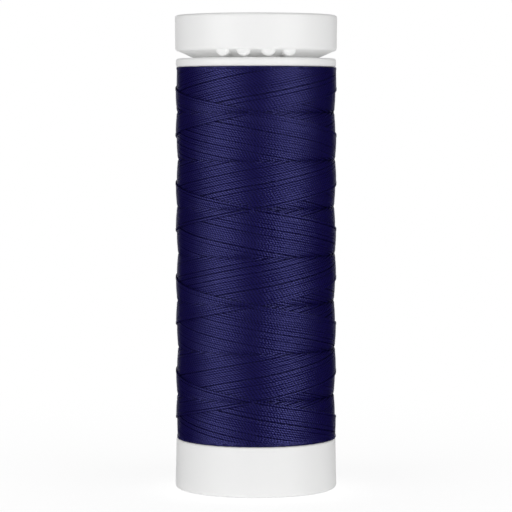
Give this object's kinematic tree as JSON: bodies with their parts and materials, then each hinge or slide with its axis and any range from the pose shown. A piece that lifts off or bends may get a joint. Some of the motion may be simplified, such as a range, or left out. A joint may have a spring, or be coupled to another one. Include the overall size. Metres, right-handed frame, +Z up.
{
  "type": "thread spool",
  "caption": "Sewing-thread spool: hollow white plastic foot and flanged barrel, cross-wound navy thread, and a sliding lock cap whose V groove holds the thread end.",
  "frame": {"origin": "middle of the face the spool stands on, on the spool's axis", "axes": "+Z up the spool's axis from the foot to the lock cap, -Y towards the front with the four nubs in the middle"},
  "size_m": [0.0226, 0.0226, 0.066],
  "materials": {
    "white_plastic": "satin moulded",
    "thread": "twisted polyester with a soft sheen"
  },
  "bodies": {
    "spool": {"foot": "white_plastic", "barrel": "white_plastic", "thread_package": "thread", "thread_winding": "thread"},
    "cap": {"lock_cap": "white_plastic"}
  },
  "joints": [
    {"name": "cap_slide", "type": "slide", "parent": "spool", "child": "cap", "axis": [0, 0, 1], "range_m": [0, 0.002]}
  ]
}
